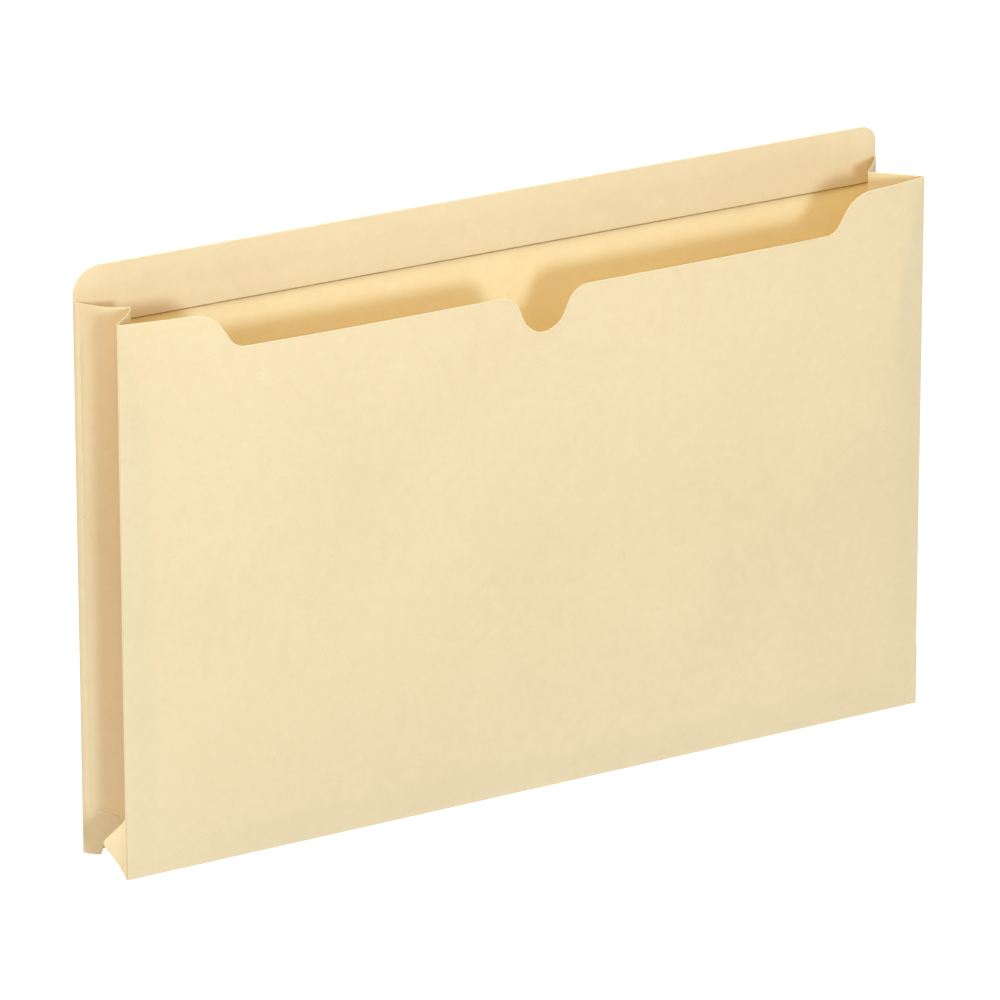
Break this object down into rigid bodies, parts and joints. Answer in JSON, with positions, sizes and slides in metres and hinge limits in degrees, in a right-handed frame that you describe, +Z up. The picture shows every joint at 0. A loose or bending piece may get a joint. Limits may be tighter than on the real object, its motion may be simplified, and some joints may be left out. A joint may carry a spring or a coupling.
{
  "type": "file jacket",
  "caption": "Expanding manila file jacket: a flat card pocket with folded side and bottom gussets, a raised full-width tab at the back and a thumb notch in the front.",
  "frame": {"origin": "centre of the bounding box at the bottom edges that the jacket stands on", "axes": "+X along the jacket's width, +Y from the front panel to the back panel, +Z up towards the open mouth"},
  "size_m": [0.3746, 0.0442, 0.2413],
  "materials": {
    "manila_card": "uncoated card, matte",
    "manila_tab": "uncoated card, matte, two plies",
    "manila_gusset": "uncoated card, matte, scored folds"
  },
  "bodies": {
    "back": {"back_panel": "manila_card", "tab_folded_ply": "manila_tab", "left_gusset_back_flap": "manila_gusset", "right_gusset_back_flap": "manila_gusset", "bottom_gusset_back_flap": "manila_gusset"},
    "left_back_half": {"left_gusset_back_half": "manila_gusset", "left_gusset_back_end_ply": "manila_gusset"},
    "left_front_half": {"left_gusset_front_half": "manila_gusset", "left_gusset_front_end_ply": "manila_gusset"},
    "front": {"front_panel": "manila_card", "left_gusset_front_flap": "manila_gusset", "right_gusset_front_flap": "manila_gusset", "bottom_gusset_front_flap": "manila_gusset"},
    "right_back_half": {"right_gusset_back_half": "manila_gusset", "right_gusset_back_end_ply": "manila_gusset"},
    "right_front_half": {"right_gusset_front_half": "manila_gusset", "right_gusset_front_end_ply": "manila_gusset"},
    "bottom_back_half": {"bottom_gusset_back_half": "manila_gusset"},
    "bottom_front_half": {"bottom_gusset_front_half": "manila_gusset"}
  },
  "joints": [
    {"name": "left_back_fold", "type": "hinge", "parent": "back", "child": "left_back_half", "pos_m": [-0.18732, 0.02123, 0], "axis": [0, 0, -1], "range_deg": [-39, 33]},
    {"name": "left_crease_fold", "type": "hinge", "parent": "left_back_half", "child": "left_front_half", "pos_m": [-0.17186, 0.0042, 0], "axis": [0, 0, 1], "range_deg": [-78, 66]},
    {"name": "left_front_fold", "type": "hinge", "parent": "left_front_half", "child": "front", "pos_m": [-0.18732, -0.01283, 0], "axis": [0, 0, -1], "range_deg": [-39, 33]},
    {"name": "right_back_fold", "type": "hinge", "parent": "back", "child": "right_back_half", "pos_m": [0.18732, 0.02123, 0], "axis": [0, 0, 1], "range_deg": [-39, 33]},
    {"name": "right_crease_fold", "type": "hinge", "parent": "right_back_half", "child": "right_front_half", "pos_m": [0.17186, 0.0042, 0], "axis": [0, 0, -1], "range_deg": [-78, 66]},
    {"name": "bottom_back_fold", "type": "hinge", "parent": "back", "child": "bottom_back_half", "pos_m": [0, 0.02123, 0.0003], "axis": [1, 0, 0], "range_deg": [-39, 33]},
    {"name": "bottom_crease_fold", "type": "hinge", "parent": "bottom_back_half", "child": "bottom_front_half", "pos_m": [0, 0.0042, 0.01577], "axis": [-1, 0, 0], "range_deg": [-78, 66]}
  ],
  "couplings": [
    {"joint": "left_crease_fold", "follows": "left_back_fold", "ratio": 2},
    {"joint": "left_front_fold", "follows": "left_back_fold", "ratio": 1},
    {"joint": "right_back_fold", "follows": "left_back_fold", "ratio": 1},
    {"joint": "right_crease_fold", "follows": "left_back_fold", "ratio": 2},
    {"joint": "bottom_back_fold", "follows": "left_back_fold", "ratio": 1},
    {"joint": "bottom_crease_fold", "follows": "left_back_fold", "ratio": 2}
  ]
}
